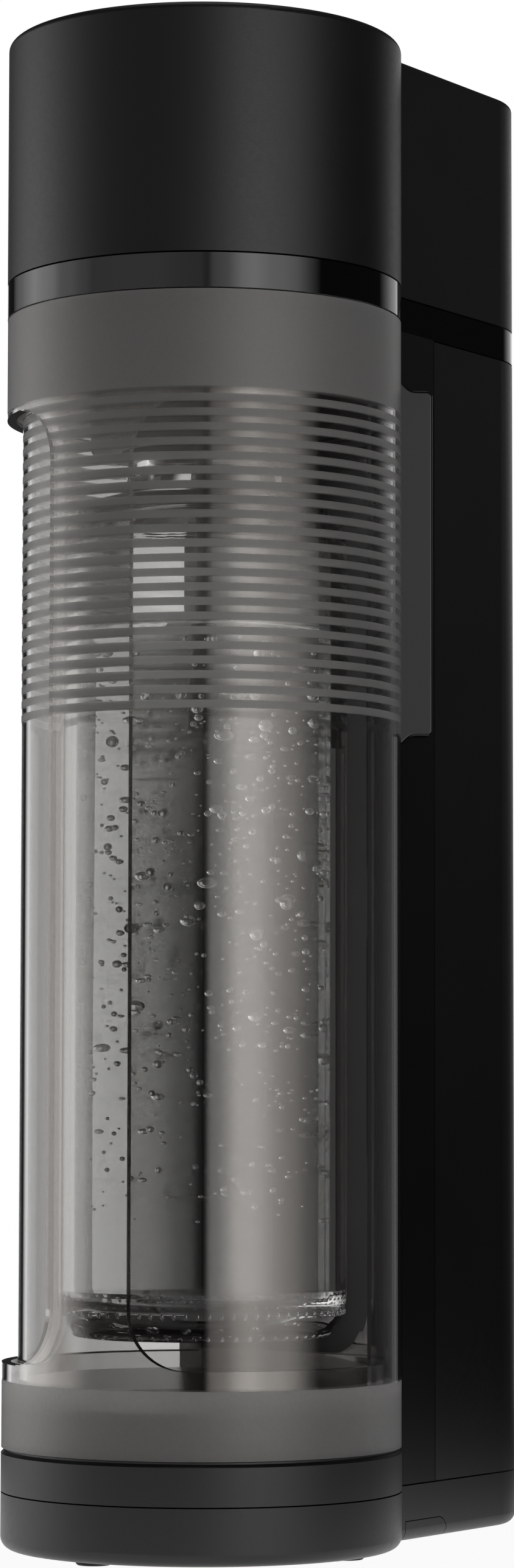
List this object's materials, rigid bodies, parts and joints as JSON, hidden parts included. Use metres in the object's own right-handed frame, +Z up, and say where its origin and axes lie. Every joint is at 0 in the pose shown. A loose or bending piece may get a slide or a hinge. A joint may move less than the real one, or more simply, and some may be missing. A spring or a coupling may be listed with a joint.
{
  "type": "soda carbonator",
  "caption": "Upright soda carbonator: a hanging glass bottle in a round chamber behind a turning clear sleeve door, with a gas cylinder in a slim rear tower and a push button on top.",
  "frame": {"origin": "on the table, under the middle of the object's width and length", "axes": "+Z up, -Y towards the front of the round chamber, +X to the right seen from the front, tower at +Y"},
  "size_m": [0.113, 0.1806, 0.4295],
  "materials": {
    "matte_black": "fine-grained matt",
    "inner_black": "plain moulded",
    "gloss_black": "polished",
    "smoke_clear": "clear smoked, frosted in bands and stripes on the door",
    "black_rubber": "matt",
    "steel": "plain",
    "brass": "turned",
    "copper_pipe": "drawn",
    "tank_silver": "satin",
    "clear_glass": "polished"
  },
  "bodies": {
    "frame": {"base_pan": "matte_black", "base_side_panels": "matte_black", "base_deck": "matte_black", "tower_spine": "matte_black", "head_housing": "matte_black", "bottle_collar": "matte_black", "head_chassis": "inner_black", "button_guide": "inner_black", "lever_bracket": "inner_black", "lower_glide_ring": "inner_black", "upper_glide_ring": "inner_black", "nozzle_holder": "inner_black", "nozzle_tube": "inner_black", "gloss_band": "gloss_black", "inner_guard": "smoke_clear", "rubber_feet": "black_rubber", "neck_seal": "black_rubber", "valve_gasket": "black_rubber", "cylinder_cradle": "black_rubber", "base_screws": "steel", "head_screws": "steel", "cover_magnets": "steel", "lever_pivot_pin": "steel", "button_spring": "steel", "nozzle_tip": "steel", "valve_seat": "brass", "relief_valve": "brass", "relief_cap": "brass", "pipe_nuts": "brass", "gas_pipe": "copper_pipe"},
    "door": {"door_sleeve": "smoke_clear", "door_handle": "smoke_clear"},
    "button": {"top_button": "matte_black", "button_stem": "inner_black"},
    "lever": {"press_lever": "steel"},
    "pin": {"valve_pin": "steel"},
    "bottle": {"glass_bottle": "clear_glass"},
    "cylinder": {"gas_cylinder": "tank_silver", "cylinder_valve": "brass"},
    "cover": {"rear_cover": "matte_black", "cover_strikes": "steel"},
    "tray": {"drip_tray": "inner_black", "drip_grid": "matte_black"}
  },
  "joints": [
    {"name": "door_turn", "type": "hinge", "parent": "frame", "child": "door", "pos_m": [0, -0.03375, 0], "axis": [0, 0, 1], "range_deg": [-140, 0]},
    {"name": "button_press", "type": "slide", "parent": "frame", "child": "button", "axis": [0, 0, -1], "range_m": [0, 0.008], "stiffness_N_per_m": 800, "springref_m": -0.002, "deforming": ["button_spring"]},
    {"name": "lever_tilt", "type": "hinge", "parent": "frame", "child": "lever", "pos_m": [0, 0.07825, 0.3929], "axis": [1, 0, 0], "range_deg": [0, 4.09]},
    {"name": "pin_push", "type": "slide", "parent": "frame", "child": "pin", "axis": [0, 0, -1], "range_m": [0, 0.0015]},
    {"name": "bottle_release", "type": "slide", "parent": "frame", "child": "bottle", "axis": [0, 0, -1], "range_m": [0, 0.01]},
    {"name": "cylinder_unscrew", "type": "hinge", "parent": "frame", "child": "cylinder", "pos_m": [0, 0.05725, 0.2], "axis": [0, 0, 1], "continuous": true},
    {"name": "cover_pull", "type": "slide", "parent": "frame", "child": "cover", "axis": [0, 1, 0], "range_m": [0, 0.09]},
    {"name": "tray_lift", "type": "slide", "parent": "frame", "child": "tray", "axis": [0, 0, 1], "range_m": [0, 0.008]}
  ],
  "couplings": [
    {"joint": "lever_tilt", "follows": "button_press", "rad_per_m": 8.9286},
    {"joint": "pin_push", "follows": "button_press", "ratio": 0.1875}
  ]
}
